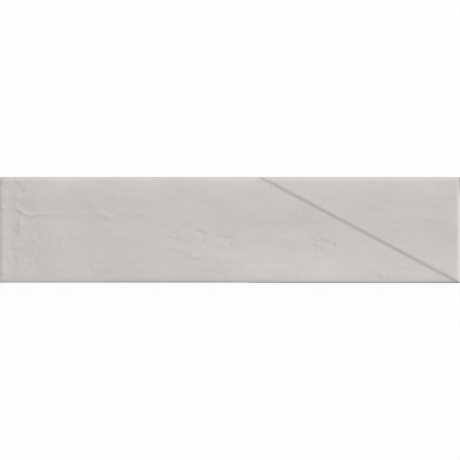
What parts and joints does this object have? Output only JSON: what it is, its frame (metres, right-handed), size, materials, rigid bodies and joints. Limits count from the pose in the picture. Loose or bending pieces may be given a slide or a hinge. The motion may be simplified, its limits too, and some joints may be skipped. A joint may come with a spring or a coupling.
{
  "type": "subway tile",
  "caption": "Long flat glazed ceramic wall tile with softly cushioned edges, a diagonal groove across its satin face, and a ribbed back that keys into adhesive.",
  "frame": {"origin": "centre of the ribbed back, on the surface that the tile lies on", "axes": "+X along the length, towards the corner where the groove ends; +Y across the width, towards the long edge where the groove starts; +Z out of the glazed face"},
  "size_m": [0.3, 0.069, 0.0085],
  "materials": {
    "glazed_body": "satin"
  },
  "bodies": {
    "root": {"tile": "glazed_body"}
  },
  "joints": []
}
